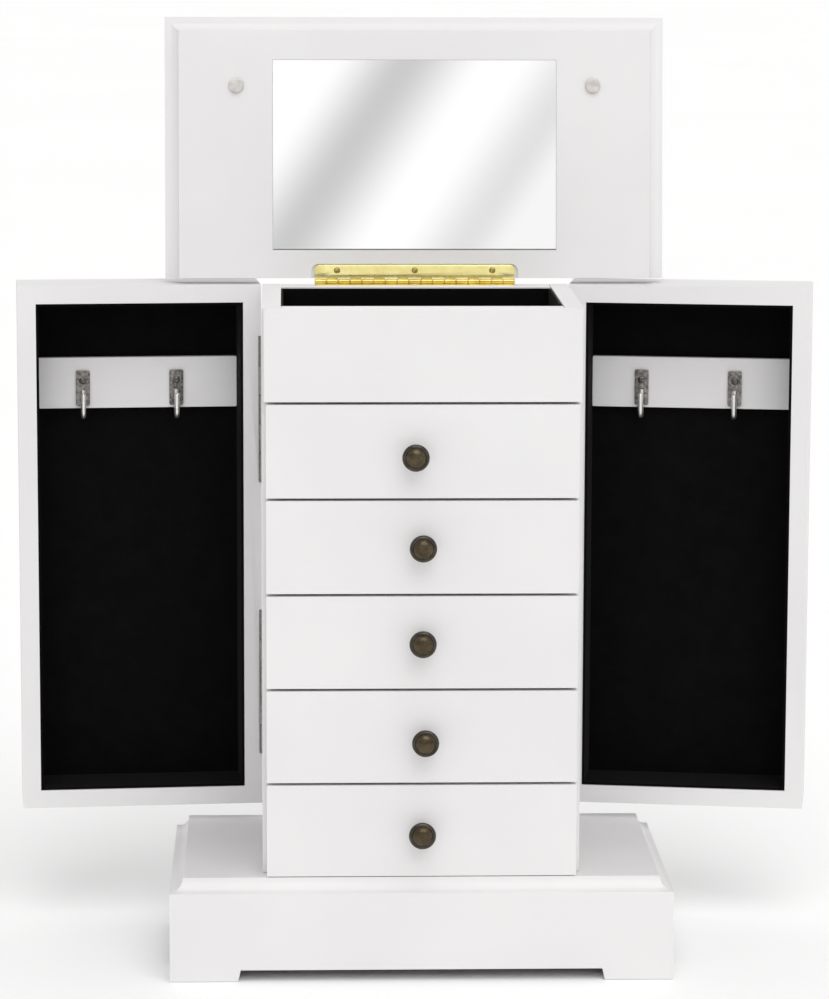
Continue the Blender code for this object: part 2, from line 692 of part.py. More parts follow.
def build_door(name, root, side_panel, mats):
    way = SIDES[name]
    paint = mats["paint"]
    turn = way * math.radians(DOOR_OPEN_DEGREES[name])
    axis_foot = (way * DOOR_AXIS_X, DOOR_AXIS_Y, DOOR_BOTTOM_Z)
    door = make_pivot(f"{name}_door_pivot", axis_foot, root, (0, 0, turn))
    rim_x = way * DOOR_RIM_X
    back_x = rim_x + way * DOOR_FRAME_DEPTH
    far_y = REAR_Y - DOOR_WIDTH
    label = f"{name}_door"
    frame = box(f"{label}_frame", (rim_x, far_y, DOOR_BOTTOM_Z), (back_x, REAR_Y, DOOR_TOP_Z), door, paint)
    inner_low = Vector((0, far_y + DOOR_RIM, DOOR_BOTTOM_Z + DOOR_RIM))
    inner_high = Vector((0, REAR_Y - DOOR_RIM, DOOR_TOP_Z - DOOR_RIM))
    out = Vector((way, 0, 0))
    hole = box(
        f"{label}_hole",
        inner_low + out * (DOOR_RIM_X - CUT_MARGIN),
        inner_high + out * (DOOR_RIM_X + DOOR_FRAME_DEPTH + CUT_MARGIN),
        door,
    )
    cut(frame, hole)
    panel_x = back_x + way * GAP
    outside_x = panel_x + way * DOOR_PANEL_THICKNESS
    box(f"{label}_panel", (panel_x, far_y, DOOR_BOTTOM_Z), (outside_x, REAR_Y, DOOR_TOP_Z), door, paint)

    fit = Vector((0, GAP, GAP))
    wall = Vector((0, LINING_THICKNESS, LINING_THICKNESS))
    lining_x = DOOR_RIM_X + LINING_SETBACK
    lining_back_x = DOOR_RIM_X + DOOR_FRAME_DEPTH
    lining = box(
        f"{label}_lining",
        inner_low + fit + out * lining_x,
        inner_high - fit + out * lining_back_x,
        door,
        mats["velvet"],
    )
    hollow = box(
        f"{label}_lining_hollow",
        inner_low + fit + wall + out * (lining_x - CUT_MARGIN),
        inner_high - fit - wall + out * (lining_back_x - LINING_THICKNESS),
        door,
    )
    cut(lining, hollow)

    rail_back_x = way * (lining_back_x - LINING_THICKNESS - GAP)
    rail_front_x = rail_back_x - way * RAIL_THICKNESS
    rail_margin = GAP + LINING_THICKNESS + GAP
    rail_top = DOOR_TOP_Z - RAIL_DROP
    box(
        f"{label}_hook_rail",
        (rail_front_x, inner_low.y + rail_margin, rail_top - RAIL_HEIGHT),
        (rail_back_x, inner_high.y - rail_margin, rail_top),
        door,
        paint,
    )
    plate_top = rail_top - HOOK_PLATE_DROP
    for number, shift in ((1, -HOOK_SPACING / 2), (2, HOOK_SPACING / 2)):
        hook_y = REAR_Y - DOOR_WIDTH / 2 - HOOK_ROW_OFFSET[name] - shift
        build_hook(f"{label}_hook_{number}", way, rail_front_x, hook_y, plate_top, door, mats)
    build_door_hinges(label, way, root, door, side_panel, frame, mats)


def stand_on_centre(root):
    """Moves the chest so that the middle of its bounding box, at floor level, is at the origin."""
    bpy.context.view_layer.update()
    graph = bpy.context.evaluated_depsgraph_get()
    corners = []
    for obj in PARTS.objects:
        if obj.type == "MESH":
            shape = obj.evaluated_get(graph)
            corners += [obj.matrix_world @ vertex.co for vertex in shape.data.vertices]
    low = Vector(min(point[axis] for point in corners) for axis in range(3))
    high = Vector(max(point[axis] for point in corners) for axis in range(3))
    root.location = (-(low.x + high.x) / 2, -(low.y + high.y) / 2, -low.z)
    bpy.context.view_layer.update()


def build_chest():
    mats = make_materials()
    root = make_pivot("chest_root", (0, 0, 0), None)
    build_base(root, mats)
    panels = build_carcass(root, mats)
    build_tray(root, mats)
    build_drawers(root, mats)
    lid, board = build_lid(root, mats)
    build_lid_hinge(root, lid, panels, board, mats)
    for name in SIDES:
        build_door(name, root, panels[name], mats)
    stand_on_centre(root)


clear_scene()
PARTS = make_collection("jewellery_chest")
CUTTERS = make_collection("cutters")
build_chest()
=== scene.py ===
"""The looks of the white jewellery chest: painted boards, velvet, brass, bronze, nickel and mirror.

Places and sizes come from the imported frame. Moving pieces are shaped as they lie in the closed
chest and are then swung to where their body rests. Lengths are in metres.
"""
import json
import math

import bmesh
import bpy
from mathutils import Matrix, Vector

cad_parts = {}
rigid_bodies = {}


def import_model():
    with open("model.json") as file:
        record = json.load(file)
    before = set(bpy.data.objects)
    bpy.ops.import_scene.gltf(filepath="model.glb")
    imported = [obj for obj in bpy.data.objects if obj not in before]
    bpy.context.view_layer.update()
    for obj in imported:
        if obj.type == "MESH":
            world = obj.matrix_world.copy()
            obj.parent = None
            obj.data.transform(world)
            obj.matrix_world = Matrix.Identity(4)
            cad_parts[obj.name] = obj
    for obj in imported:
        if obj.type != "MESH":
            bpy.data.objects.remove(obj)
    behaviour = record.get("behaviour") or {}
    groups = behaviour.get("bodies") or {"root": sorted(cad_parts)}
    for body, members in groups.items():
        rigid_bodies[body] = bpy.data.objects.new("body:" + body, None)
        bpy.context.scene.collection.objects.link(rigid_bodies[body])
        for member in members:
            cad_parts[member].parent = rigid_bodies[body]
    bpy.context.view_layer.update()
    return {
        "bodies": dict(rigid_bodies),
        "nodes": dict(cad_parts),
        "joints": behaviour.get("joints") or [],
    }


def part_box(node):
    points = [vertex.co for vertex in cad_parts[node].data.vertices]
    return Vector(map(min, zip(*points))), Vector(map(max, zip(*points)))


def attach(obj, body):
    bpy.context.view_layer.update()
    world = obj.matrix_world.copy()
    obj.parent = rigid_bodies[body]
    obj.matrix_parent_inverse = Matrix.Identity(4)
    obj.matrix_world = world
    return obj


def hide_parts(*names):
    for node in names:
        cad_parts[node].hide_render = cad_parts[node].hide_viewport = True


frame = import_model()
NODES = frame["nodes"]

# Boards
BOARD_ROUNDING = 0.0007
SHEET_ROUNDING = 0.0003
WELD_REACH = 0.00002
BASE_COVE = 0.0085
BASE_WALL = 0.014
FOOT_SLOPE = 0.0018
LID_COVE = 0.0095
COVE_STEPS = 14
ROUND_STEPS = 28
SMOOTH_ANGLE = math.radians(32)

# Fits and cuts
FIT = 0.0003
CUT_PAST = 0.001  # how far a cutter goes past the face it opens
CUT_WELD = 0.000005

# Mirror
PANE_FIT = 0.00003
PANE_SHADOW_GAP = 0.0006  # at the pane's edge next to the hinge
PANE_ARRIS = 0.0003
FLAT_NORMAL = 0.9  # a steeper face belongs to the pane's edge

# Hinges
LID_KNUCKLES = 17
BARREL_RADIUS = 0.0022
KNUCKLE_GAP = 0.0003
PIN_RADIUS = 0.0015
PIN_DOME = 0.0004
PIN_DOME_EDGE = 0.0001
LEAF_THICKNESS = 0.001
LEAF_CORNER = 0.0034
LEAF_EDGE = 0.00018
STRAP_LAP = 0.0003  # how far a strap starts inside its plate
DOOR_LEAF_EDGE = 0.00015
MORTISE_CORNER = 0.0048
MORTISE_END_ROOM = 0.0022
MORTISE_SIDE_ROOM = 0.0006

# Screws: radius and height of the head, and how far each next cross is turned in degrees
LID_SCREW = (0.0017, 0.0003, 37)
LID_SCREW_SPACING = 0.0515
LID_SCREW_OFF_MIDDLE = 0.0006
LID_SCREW_SUNK = 0.00035
COUNTERSINK_RIM = 0.0004
COUNTERSINK_SHOULDER = 0.0002
COUNTERSINK_DEPTH = 0.0006
DOOR_SCREW = (0.0018, 0.0004, 53)
DOOR_SCREW_SHARE = 0.42  # of the way from the leaf's free edge to the axis
DOOR_SCREW_HEIGHTS = (0.14, 0.5, 0.86)  # shares of the leaf's height
HOOK_SCREW = (0.0024, 0.0009, 24)
HOOK_SCREW_DROP = 0.0068

# Hooks
HOOK_PLATE = (0.0093, 0.0238, 0.0012)  # width, height, thickness
HOOK_PLATE_CORNER = 0.0012
HOOK_PLATE_EDGE = 0.00025
HOOK_WIRE_RADIUS = 0.0016
HOOK_STEM_OFF = 0.00168  # from the rail to the middle of the wire
HOOK_STEM_TOP = 0.55  # share of the plate's height, measured down from its top
HOOK_BEND_RADIUS = 0.0042
HOOK_TIP_RISE = 0.0094  # of the wire's end above the plate's lower edge
HOOK_BEND_STEPS = 14
WIRE_STEPS = 18
WIRE_TIP_STEPS = 5

# Drawers: the knob's outline is pairs of radius and height, from its crown to its foot
LINING = 0.0012
LINING_EDGE = 0.0003
LINING_BELOW_RIM = 0.002
LINING_OUTER_CORNER = 0.001
LINING_INNER_CORNER = 0.003
DRAWER_WALL = 0.007
DRAWER_BOTTOM = 0.004
KNOB_PROFILE = [
    (0.0, 0.0170), (0.0018, 0.0169), (0.0036, 0.0164), (0.0050, 0.0156), (0.0059, 0.0146),
    (0.0063, 0.0138), (0.00655, 0.0134), (0.0069, 0.0134), (0.0074, 0.0136), (0.0080, 0.0133),
    (0.0085, 0.0125), (0.0086, 0.0116), (0.0084, 0.0107), (0.0078, 0.0099), (0.0066, 0.0090),
    (0.0050, 0.0081), (0.0039, 0.0069), (0.0034, 0.0055), (0.0036, 0.0038), (0.0042, 0.0024),
    (0.0052, 0.0016), (0.0058, 0.0011), (0.0058, 0.0), (0.0, 0.0),
]
KNOB_STEPS = 48
KNOB_CROWN_RADIUS = 0.0066
KNOB_CROWN_HEIGHT = 0.013

# Studio: the reflector's bands are pairs of place across it, from 0 to 1, and brightness
FLOOR_REACH = 30.0
REFLECTOR_REACH = 2.2
REFLECTOR_PLACE = (0.35, -7.0, 1.2)
BANDS = [
    (0.0, 1.08), (0.215, 1.08), (0.295, 0.635), (0.385, 1.08),
    (0.405, 1.08), (0.48, 0.81), (0.525, 0.98), (1.0, 0.98),
]
BAND_SLANT = math.radians(33.3)
ROOM_COLOUR = (1.0, 0.998, 0.994, 1.0)
ROOM_LIGHT = (0.71, 0.86)  # strength far left and far right
KEY_POWER = 1.1
KEY_SPREAD = math.radians(50)
KEY_FROM = (0.15, -0.75, 1.1)  # direction towards the lamp

# Camera
CAMERA_PLACE = (-0.08835, -2.5527, 0.6856)
CAMERA_PITCH = math.radians(8.724)
CAMERA_YAW = math.radians(1.913)
CAMERA_ROLL = math.radians(0.171)
CAMERA_SENSOR = 36.0
CAMERA_LENS = 143.06
CAMERA_REACH = 100.0


# ---------------------------------------------------------------- materials

def material(name, colour, roughness, metallic=0.0, **sockets):
    """A new material; other shader sockets are named with underscores for spaces."""
    mat = bpy.data.materials.new(name)
    mat.use_nodes = True
    shader = mat.node_tree.nodes["Principled BSDF"]
    shader.inputs["Base Color"].default_value = (*colour, 1.0)
    shader.inputs["Roughness"].default_value = roughness
    shader.inputs["Metallic"].default_value = metallic
    for socket, value in sockets.items():
        shader.inputs[socket.replace("_", " ")].default_value = value
    return mat


def noise(mat, scale, detail=3.0, stretch=(1.0, 1.0, 1.0), roughness=0.5):
    """Noise fixed to the object; scale is in cells for each metre."""
    tree = mat.node_tree
    place = tree.nodes.new("ShaderNodeTexCoord")
    mapping = tree.nodes.new("ShaderNodeMapping")
    mapping.inputs["Scale"].default_value = stretch
    texture = tree.nodes.new("ShaderNodeTexNoise")
    texture.inputs["Scale"].default_value = scale
    texture.inputs["Detail"].default_value = detail
    texture.inputs["Roughness"].default_value = roughness
    tree.links.new(place.outputs["Object"], mapping.inputs["Vector"])
    tree.links.new(mapping.outputs["Vector"], texture.inputs["Vector"])
    return texture.outputs["Fac"]


def vary_colour(mat, factor, first, second, low=0.35, high=0.65):
    tree = mat.node_tree
    ramp = tree.nodes.new("ShaderNodeValToRGB")
    ramp.color_ramp.elements[0].position = low
    ramp.color_ramp.elements[1].position = high
    ramp.color_ramp.elements[0].color = (*first, 1.0)
    ramp.color_ramp.elements[1].color = (*second, 1.0)
    tree.links.new(factor, ramp.inputs["Fac"])
    tree.links.new(ramp.outputs["Color"], tree.nodes["Principled BSDF"].inputs["Base Color"])


def vary_roughness(mat, factor, low, high):
    tree = mat.node_tree
    span = tree.nodes.new("ShaderNodeMapRange")
    span.inputs["To Min"].default_value = low
    span.inputs["To Max"].default_value = high
    tree.links.new(factor, span.inputs["Value"])
    tree.links.new(span.outputs["Result"], tree.nodes["Principled BSDF"].inputs["Roughness"])


def add_bump(mat, factor, strength, distance):
    tree = mat.node_tree
    shader = tree.nodes["Principled BSDF"]
    bump = tree.nodes.new("ShaderNodeBump")
    bump.inputs["Strength"].default_value = strength
    bump.inputs["Distance"].default_value = distance
    if shader.inputs["Normal"].is_linked:
        tree.links.new(shader.inputs["Normal"].links[0].from_socket, bump.inputs["Normal"])
    tree.links.new(factor, bump.inputs["Height"])
    tree.links.new(bump.outputs["Normal"], shader.inputs["Normal"])


def make_paint(name, grain):
    """Satin paint sprayed on board: a faint orange peel over a trace of the board's own grain."""
    mat = material(name, (0.765, 0.755, 0.755), 0.42, Specular_IOR_Level=0.32)
    vary_colour(mat, noise(mat, 9.0, 4.0), (0.750, 0.738, 0.740), (0.780, 0.771, 0.771))
    vary_roughness(mat, noise(mat, 60.0, 4.0), 0.36, 0.50)
    add_bump(mat, noise(mat, 90.0, 5.0, grain, 0.65), 0.10, 0.0002)
    add_bump(mat, noise(mat, 1100.0, 2.0), 0.10, 0.0001)
    return mat


def make_velvet():
    sheen = {"Sheen_Weight": 0.02, "Sheen_Roughness": 0.5}
    mat = material("velvet_pile", (0.003, 0.003, 0.003), 0.95, Specular_IOR_Level=0.08, **sheen)
    dark, light = (0.0018, 0.0018, 0.0019), (0.0034, 0.0033, 0.0034)
    vary_colour(mat, noise(mat, 70.0, 5.0), dark, light, 0.25, 0.75)
    vary_roughness(mat, noise(mat, 45.0, 3.0), 0.88, 1.0)
    add_bump(mat, noise(mat, 45.0, 4.0, (1.0, 1.0, 0.5)), 0.35, 0.0008)
    add_bump(mat, noise(mat, 2600.0, 2.0), 0.7, 0.0004)
    return mat


def make_brass(name, dark, light):
    mat = material(name, light, 0.2, 1.0)
    vary_colour(mat, noise(mat, 120.0, 5.0), dark, light, 0.3, 0.7)
    vary_roughness(mat, noise(mat, 260.0, 4.0, (0.15, 1.0, 1.0)), 0.14, 0.30)
    add_bump(mat, noise(mat, 1500.0, 3.0, (0.05, 1.0, 1.0)), 0.10, 0.0001)
    return mat


def make_bronze(name, dark, light):
    """Antique finish: brown patina with the metal showing through where it was rubbed."""
    mat = material(name, light, 0.4, 0.85)
    vary_colour(mat, noise(mat, 260.0, 5.0, roughness=0.6), dark, light, 0.3, 0.7)
    vary_roughness(mat, noise(mat, 500.0, 4.0), 0.18, 0.32)
    add_bump(mat, noise(mat, 1400.0, 4.0), 0.18, 0.0002)
    return mat


def make_nickel(name, dark, light, peened, gloss=(0.16, 0.36)):
    mat = material(name, light, 0.25, 1.0)
    vary_colour(mat, noise(mat, 500.0, 5.0), dark, light)
    vary_roughness(mat, noise(mat, 700.0, 4.0), *gloss)
    add_bump(mat, noise(mat, 900.0, 3.0), peened, 0.0003)
    return mat


def make_mirror():
    mat = material("silvered_glass", (0.93, 0.94, 0.94), 0.012, 1.0)
    vary_colour(mat, noise(mat, 6.0, 2.0), (0.934, 0.936, 0.934), (0.942, 0.942, 0.940))
    vary_roughness(mat, noise(mat, 25.0, 3.0), 0.008, 0.018)
    return mat


def make_glass_edge():
    mat = material("ground_glass_edge", (0.66, 0.72, 0.70), 0.35)
    vary_colour(mat, noise(mat, 300.0, 3.0), (0.58, 0.65, 0.63), (0.72, 0.77, 0.76))
    return mat


def make_bumper():
    mat = material("soft_bumper", (0.60, 0.58, 0.55), 0.22, Coat_Weight=0.4)
    vary_colour(mat, noise(mat, 260.0, 3.0), (0.52, 0.49, 0.46), (0.66, 0.64, 0.61))
    vary_roughness(mat, noise(mat, 300.0, 3.0), 0.18, 0.30)
    return mat


UPRIGHT_GRAIN = (1.0, 1.0, 0.12)
LEVEL_GRAIN = (0.12, 1.0, 1.0)
PAINT = make_paint("satin_paint", UPRIGHT_GRAIN)
PAINT_LEVEL = make_paint("satin_paint_level", LEVEL_GRAIN)
VELVET = make_velvet()
BRASS = make_brass("lacquered_brass", (0.88, 0.76, 0.30), (0.97, 0.87, 0.42))
# The barrel's brass is a darker copy of the leaves' brass: painted shade on the barrel.
BARREL_BRASS_SHADED = make_brass("barrel_brass_painted_shade", (0.44, 0.33, 0.085), (0.62, 0.49, 0.15))
BRONZE = make_bronze("antique_bronze_crown", (0.046, 0.035, 0.021), (0.118, 0.090, 0.053))
# The rim's bronze is a darker, greyer copy of the crown's: painted shade on the knob's rim.
BRONZE_RIM_SHADED = make_bronze("antique_bronze_rim_painted_shade", (0.036, 0.031, 0.025), (0.088, 0.078, 0.063))
# The hook plates' nickel is a far darker copy: painted shade and dark reflections on the plates.
PLATE_NICKEL_SHADED = make_nickel("nickel_plate_painted_shade", (0.09, 0.085, 0.08), (0.28, 0.265, 0.25), 0.35)
# Far darker than nickel, so the door hinges read as dark slots: painted shade.
HINGE_NICKEL_SHADED = make_nickel("hinge_nickel_painted_shade", (0.25, 0.245, 0.24), (0.33, 0.32, 0.31), 0.04)
# The hook wire's nickel is a much lighter copy, near white: painted highlights on the wire.
WIRE_NICKEL_LIT = make_nickel("nickel_wire_painted_highlight", (0.78, 0.77, 0.75), (0.90, 0.89, 0.87), 0.06, (0.34, 0.46))
SCREW_STEEL = make_nickel("screw_steel", (0.07, 0.065, 0.06), (0.18, 0.17, 0.16), 0.10)
SCREW_BRASS = make_nickel("screw_brass", (0.26, 0.20, 0.07), (0.52, 0.41, 0.15), 0.08)
MIRROR = make_mirror()
GLASS_EDGE = make_glass_edge()
BUMPER = make_bumper()


# ---------------------------------------------------------------- where the bodies swing

def closed_to_rest(joint, closed_value):
    """The turn that takes a shut body, at that value of its joint in degrees, back to rest."""
    turn = Matrix.Rotation(-math.radians(closed_value), 4, Vector(joint["axis"]))
    pivot = Matrix.Translation(Vector(joint["pos_m"]))
    return pivot @ turn @ pivot.inverted()


JOINTS = {joint["name"]: joint for joint in frame["joints"]}
SWING = {body: Matrix.Identity(4) for body in frame["bodies"]}
for swung, shut_end in (("lid", 1), ("left_door", 1), ("right_door", 0)):
    hinge = JOINTS[f"{swung}_hinge"]
    SWING[swung] = closed_to_rest(hinge, hinge["range_deg"][shut_end])


def closed_box(node, body):
    """A CAD node's lowest and highest corners with its body swung shut."""
    back = SWING[body].inverted()
    points = [back @ vertex.co for vertex in NODES[node].data.vertices]
    low = Vector(min(point[axis] for point in points) for axis in range(3))
    high = Vector(max(point[axis] for point in points) for axis in range(3))
    return low, high


# ---------------------------------------------------------------- mesh tools

def loft(rings):
    """Quads between rings of equal length, with a face on the first and the last ring."""
    bm = bmesh.new()
    loops = [[bm.verts.new(point) for point in ring] for ring in rings]
    count = len(loops[0])
    for first, second in zip(loops, loops[1:]):
        for index in range(count):
            after = (index + 1) % count
            bm.faces.new((first[index], first[after], second[after], second[index]))
    bm.faces.new(list(reversed(loops[0])))
    bm.faces.new(loops[-1])
    bmesh.ops.recalc_face_normals(bm, faces=bm.faces)
    return bm


def turned(profile, steps, place):
    """A closed solid of revolution; profile is (radius, height) pairs whose ends are on the axis."""
    bm = bmesh.new()
    rings = []
    for radius, height in profile[1:-1]:
        ring = []
        for step in range(steps):
            angle = 2 * math.pi * step / steps
            ring.append(bm.verts.new((radius * math.cos(angle), radius * math.sin(angle), height)))
        rings.append(ring)
    first = bm.verts.new((0, 0, profile[0][1]))
    last = bm.verts.new((0, 0, profile[-1][1]))
    for index in range(steps):
        after = (index + 1) % steps
        bm.faces.new((first, rings[0][index], rings[0][after]))
        bm.faces.new((last, rings[-1][after], rings[-1][index]))
        for low, high in zip(rings, rings[1:]):
            bm.faces.new((low[index], high[index], high[after], low[after]))
    bm.transform(place)
    bmesh.ops.recalc_face_normals(bm, faces=bm.faces)
    return bm


def rounded_outline(low, high, radii, steps=6):
    """Corners counter-clockwise from low, low; each with its own radius, which may be zero."""
    (u0, v0), (u1, v1) = low, high
    corners = ((u0, v0, 180), (u1, v0, 270), (u1, v1, 0), (u0, v1, 90))
    points = []
    for (u, v, start), radius in zip(corners, radii):
        if radius == 0:
            points.append((u, v))
            continue
        centre_u = u + radius if u == u0 else u - radius
        centre_v = v + radius if v == v0 else v - radius
        for step in range(steps + 1):
            angle = math.radians(start + 90 * step / steps)
            points.append((centre_u + radius * math.cos(angle), centre_v + radius * math.sin(angle)))
    return points


def along_x(u, v, level):
    return level, u, v


def along_y(u, v, level):
    return u, level, v


def along_z(u, v, level):
    return u, v, level


def prism(outline, low, high, spread):
    """An outline drawn out between two levels; spread is one of the three functions above."""
    rings = [[Vector(spread(u, v, level)) for u, v in outline] for level in (low, high)]
    return loft(rings)


def soften(bm, width):
    """Rounds the sharp edges of a bmesh and gives it back."""
    sharp = [e for e in bm.edges if len(e.link_faces) == 2 and e.calc_face_angle() > SMOOTH_ANGLE]
    shape = {"segments": 2, "profile": 0.5, "affect": "EDGES", "clamp_overlap": True}
    bmesh.ops.bevel(bm, geom=sharp, offset=width, **shape)
    return bm


def as_object(name, bm):
    mesh = bpy.data.meshes.new(name)
    bm.to_mesh(mesh)
    bm.free()
    obj = bpy.data.objects.new(name, mesh)
    bpy.context.scene.collection.objects.link(obj)
    return obj


def carve(bm, *cutters):
    """The solid with the cutters taken away, as a new bmesh."""
    target = as_object("carved", bm)
    tools = [as_object("cutter", cutter) for cutter in cutters]
    for tool in tools:
        step = target.modifiers.new("cut", "BOOLEAN")
        step.operation = "DIFFERENCE"
        step.solver = "EXACT"
        step.object = tool
    graph = bpy.context.evaluated_depsgraph_get()
    mesh = bpy.data.meshes.new_from_object(target.evaluated_get(graph))
    result = bmesh.new()
    result.from_mesh(mesh)
    bmesh.ops.remove_doubles(result, verts=result.verts, dist=CUT_WELD)
    for obj in (target, *tools):
        bpy.data.objects.remove(obj)
    return result


def merge(target, other):
    """Adds the other bmesh to the target and frees it."""
    mesh = bpy.data.meshes.new("merged")
    other.to_mesh(mesh)
    other.free()
    target.from_mesh(mesh)
    bpy.data.meshes.remove(mesh)
    return target


def piece(name, bm, body, mats, stands_for=()):
    """A finished piece: shaped in the closed chest, swung to rest and given to its body."""
    obj = as_object(name, bm)
    obj.data.transform(SWING[body])
    for mat in mats if isinstance(mats, tuple) else (mats,):
        obj.data.materials.append(mat)
    obj.data.shade_smooth()
    obj.data.set_sharp_from_angle(angle=SMOOTH_ANGLE)
    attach(obj, body)
    if stands_for:
        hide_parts(*stands_for)


# ---------------------------------------------------------------- CAD nodes that stay

def dress(node, mat, rounding=BOARD_ROUNDING):
    """A CAD node keeps its shape: it gets its material and slightly broken edges."""
    obj = NODES[node]
    obj.data.materials.clear()
    obj.data.materials.append(mat)
    weld = obj.modifiers.new("weld", "WELD")
    weld.merge_threshold = WELD_REACH
    bevel = obj.modifiers.new("broken_edges", "BEVEL")
    bevel.width = rounding
    bevel.segments = 3
    bevel.limit_method = "ANGLE"
    bevel.angle_limit = SMOOTH_ANGLE
    bevel.harden_normals = False


def dress_boards():
    for node in ("left_side_panel", "right_side_panel", "back_panel"):
        dress(node, PAINT)
    for node in ("top_front_panel", "tray_front_rail", "tray_back_rail", "tray_floor"):
        dress(node, PAINT_LEVEL)
    for number in range(1, 5):
        dress(f"drawer_shelf_{number}", PAINT_LEVEL)
    for number in range(1, 6):
        dress(f"drawer_{number}_front", PAINT_LEVEL)
        dress(f"drawer_{number}_box", PAINT_LEVEL)
    for side in ("left", "right"):
        dress(f"{side}_door_frame", PAINT)
        dress(f"{side}_door_panel", PAINT)
        dress(f"{side}_door_hook_rail", PAINT_LEVEL)
        dress(f"{side}_door_lining", VELVET, SHEET_ROUNDING)
    dress("tray_lining", VELVET, SHEET_ROUNDING)


# ---------------------------------------------------------------- base and lid

def rectangle(x0, x1, y0, y1, z):
    return [Vector(p) for p in ((x0, y0, z), (x1, y0, z), (x1, y1, z), (x0, y1, z))]


def build_base():
    """Mitred boards under a top with a cove, joined and painted as one."""
    low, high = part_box("base_top_board")
    under = low.z
    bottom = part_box("base_front_board")[0].z

    def ring(inset, z):
        return rectangle(low.x + inset, high.x - inset, low.y + inset, high.y - inset, z)

    edge = BOARD_ROUNDING
    rings = [ring(BASE_WALL, under), ring(BASE_WALL, bottom)]
    rings += [ring(edge, bottom), ring(0.0, bottom + edge)]
    for step in range(COVE_STEPS + 1):
        angle = math.pi / 2 * step / COVE_STEPS
        rings.append(ring(BASE_COVE * math.sin(angle), high.z - BASE_COVE * math.cos(angle)))
    notches = [foot_notch(name, axis, low, high) for name, axis in (("front", 0), ("left", 1))]
    shell = carve(loft(rings), *notches)
    names = [f"base_{place}_board" for place in ("top", "front", "back", "left", "right")]
    piece("base_plinth", shell, "cabinet", PAINT_LEVEL, names)


def foot_notch(name, axis, low, high):
    """One cutter through two opposite boards; it widens towards the floor and goes on below it."""
    points = [vertex.co for vertex in NODES[f"base_{name}_board"].data.vertices]
    floor = min(point.z for point in points)
    roof = sorted({round(point.z, 5) for point in points})[1]
    edges = [point[axis] for point in points if abs(point.z - roof) < FIT]
    start, end = min(edges), max(edges)
    below = floor - (roof - floor)
    lean = 2 * FOOT_SLOPE
    outline = [(start - lean, below), (end + lean, below), (end, roof), (start, roof)]
    other = 1 - axis
    reach = (low[other] - BASE_WALL, high[other] + BASE_WALL)
    return prism(outline, *reach, along_y if axis == 0 else along_x)


def build_lid():
    """A board with a cove under three edges, cut out for the pane and for the hinge's leaf."""
    low, high = closed_box("lid_board", "lid")

    def ring(inset, z, rear=0.0):
        return rectangle(low.x + inset, high.x - inset, low.y + inset, high.y - rear, z)

    edge = BOARD_ROUNDING
    rings = [ring(edge, high.z, edge), ring(0.0, high.z - edge)]
    for step in range(COVE_STEPS + 1):
        angle = math.pi / 2 * step / COVE_STEPS
        rings.append(ring(LID_COVE * math.sin(angle), low.z + LID_COVE * math.cos(angle)))
    board = loft(rings)

    glass_low, glass_high = closed_box("lid_mirror", "lid")
    recess = prism(
        rounded_outline(
            (glass_low.x - PANE_FIT, glass_low.y - PANE_FIT),
            (glass_high.x + PANE_FIT, glass_high.y + PANE_SHADOW_GAP),
            (0, 0, 0, 0),
        ),
        low.z - CUT_PAST,
        glass_high.z + FIT,
        along_z,
    )
    leaf_low, leaf_high = closed_box("lid_hinge_lid_leaf", "lid")
    mortise = prism(
        rounded_outline(
            (leaf_low.x - MORTISE_END_ROOM, leaf_low.y - MORTISE_SIDE_ROOM),
            (leaf_high.x + MORTISE_END_ROOM, high.y + CUT_PAST),
            (MORTISE_CORNER, MORTISE_CORNER, 0, 0),
        ),
        low.z - CUT_PAST,
        leaf_high.z + FIT,
        along_z,
    )
    board = carve(board, recess, mortise)
    piece("lid_top", board, "lid", PAINT_LEVEL, ["lid_board"])
    build_mirror(glass_low, glass_high)


def build_mirror(low, high):
    """A pane with a narrow ground edge; the seen face is the lower one when the lid is shut."""

    def ring(inset, z):
        return rectangle(low.x + inset, high.x - inset, low.y + inset, high.y - inset, z)

    edge = PANE_ARRIS
    pane = loft([ring(0.0, high.z), ring(0.0, low.z + edge), ring(edge, low.z)])
    for face in pane.faces:
        face.material_index = 0 if abs(face.normal.z) > FLAT_NORMAL else 1
    piece("lid_mirror_glass", pane, "lid", (MIRROR, GLASS_EDGE), ["lid_mirror"])


def build_bumpers():
    for side in ("left", "right"):
        low, high = closed_box(f"lid_bumper_{side}", "lid")
        radius = (high.x - low.x) / 2
        height = high.z - low.z
        profile = [(0, height * 0.90), (radius * 0.45, height * 0.97), (radius * 0.72, height)]
        profile += [(radius * 0.9, height * 0.86), (radius * 0.985, height * 0.6)]
        profile += [(radius, height * 0.3), (radius * 0.98, 0.0), (0, 0.0)]
        middle = Vector(((low.x + high.x) / 2, (low.y + high.y) / 2, high.z))
        place = Matrix.Translation(middle) @ Matrix.Rotation(math.pi, 4, "X")
        dome = turned(profile, ROUND_STEPS, place)
        piece(f"lid_stop_{side}", dome, "lid", BUMPER, [f"lid_bumper_{side}"])


# ---------------------------------------------------------------- screws

